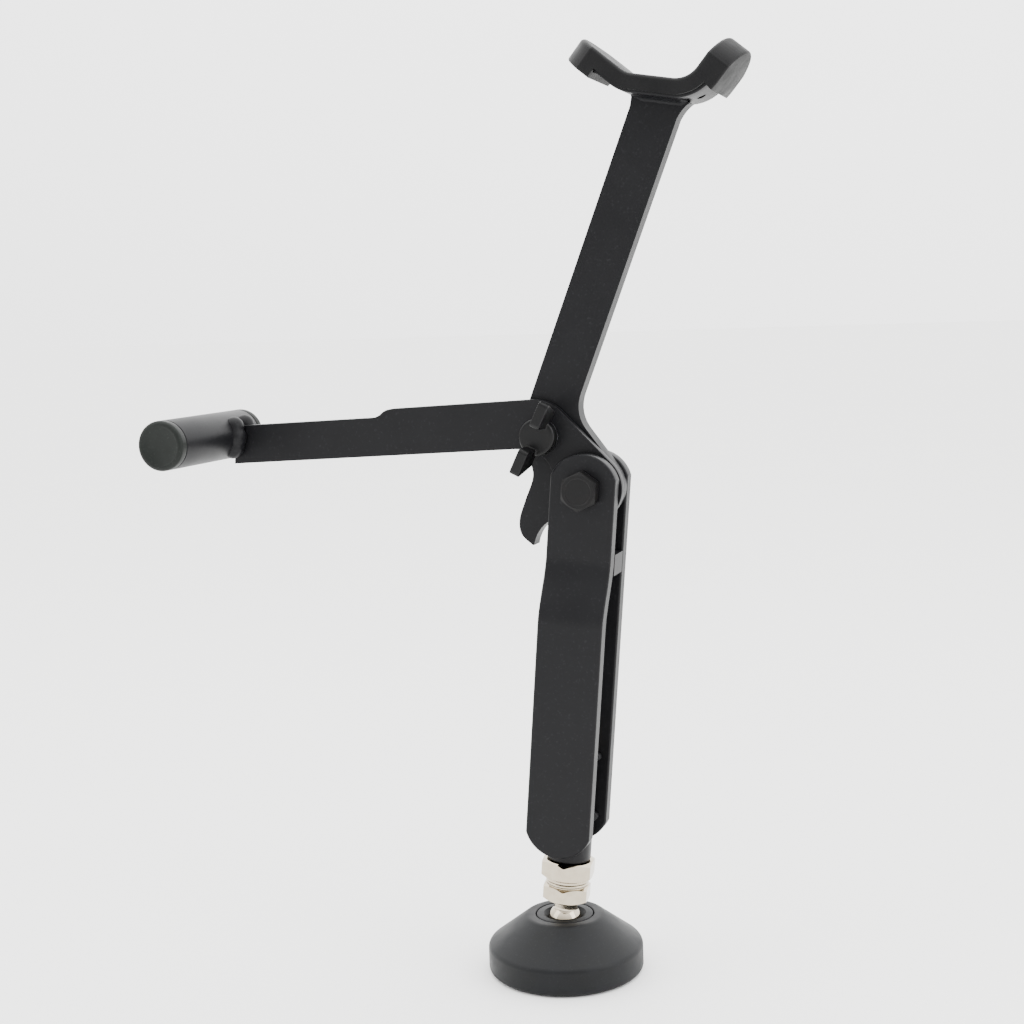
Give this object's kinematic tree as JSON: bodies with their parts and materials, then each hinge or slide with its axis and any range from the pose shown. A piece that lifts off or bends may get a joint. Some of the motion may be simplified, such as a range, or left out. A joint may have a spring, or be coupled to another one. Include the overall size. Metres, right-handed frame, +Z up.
{
  "type": "motorcycle wheel-lift stand",
  "caption": "Portable lift stand: swivel foot, screwed spindle, two-plate leg, over-centre arm with a padded V saddle, and a foot lever.",
  "frame": {"origin": "middle of the underside of the foot's rubber pad", "axes": "+Z up from the floor, X in the plane of the leg's plates with the lever towards -X and the saddle towards +X, +Y from the front plate to the rear plate"},
  "size_m": [0.2233, 0.0788, 0.3513],
  "materials": {
    "powder_coat": "satin black powder coat",
    "foot_plastic": "moulded black nylon, fine texture",
    "foot_rubber": "matte black rubber",
    "nickel": "bright nickel plate",
    "black_oxide": "black oxide",
    "zinc": "bright zinc plate",
    "saddle_rubber": "moulded black rubber",
    "cap_plastic": "moulded dark polyethylene",
    "knob_plastic": "moulded black nylon, semi-gloss"
  },
  "bodies": {
    "foot": {"foot_base": "foot_plastic", "foot_pad": "foot_rubber"},
    "seat": {"ball_seat": "foot_plastic"},
    "carrier": {"spindle_washer": "nickel"},
    "spindle_screw": {"spindle": "nickel"},
    "leg": {"threaded_sleeve": "powder_coat", "leg_plate_front": "powder_coat", "leg_plate_rear": "powder_coat", "stop_block": "powder_coat", "pivot_bolt": "black_oxide", "pivot_washer": "zinc", "pivot_nut": "zinc"},
    "lock_nut": {"jam_nut": "nickel"},
    "arm": {"arm_plate": "powder_coat", "lever_plate": "powder_coat", "pedal_tube": "powder_coat", "tube_cap_front": "cap_plastic", "tube_cap_rear": "cap_plastic", "saddle_strip": "powder_coat", "saddle_pad": "saddle_rubber"},
    "knob_slide": {"knob_washer": "zinc"},
    "knob": {"wing_knob": "knob_plastic", "wing_screw": "zinc"}
  },
  "joints": [
    {"name": "foot_swivel", "type": "hinge", "parent": "foot", "child": "seat", "pos_m": [0, 0, 0.0195], "axis": [0, 0, 1], "continuous": true},
    {"name": "foot_tilt", "type": "hinge", "parent": "seat", "child": "carrier", "pos_m": [0, 0, 0.0195], "axis": [0, 1, 0], "range_deg": [-20, 9.8]},
    {"name": "height_adjust", "type": "slide", "parent": "carrier", "child": "leg", "axis": [0.0906, 0, 0.9959], "range_m": [0, 0.035]},
    {"name": "spindle_turn", "type": "hinge", "parent": "carrier", "child": "spindle_screw", "pos_m": [0, 0, 0.0195], "axis": [0.0906, 0, 0.9959], "range_deg": [-7201, 1]},
    {"name": "jam_nut_turn", "type": "hinge", "parent": "leg", "child": "lock_nut", "pos_m": [0, 0, 0.0195], "axis": [0.0906, 0, 0.9959], "continuous": true},
    {"name": "arm_swing", "type": "hinge", "parent": "leg", "child": "arm", "pos_m": [0.01432, 0, 0.1879], "axis": [0, 1, 0], "range_deg": [-16, 155]},
    {"name": "wing_screw_out", "type": "slide", "parent": "arm", "child": "knob_slide", "axis": [0, -1, 0], "range_m": [0, 0.008]},
    {"name": "wing_screw_turn", "type": "hinge", "parent": "knob_slide", "child": "knob", "pos_m": [-0.00267, 0, 0.20752], "axis": [0, -1, 0], "range_deg": [-1, 2881]}
  ],
  "couplings": [
    {"joint": "spindle_turn", "follows": "height_adjust", "rad_per_m": -3590.4},
    {"joint": "wing_screw_turn", "follows": "wing_screw_out", "rad_per_m": 6283.2}
  ]
}
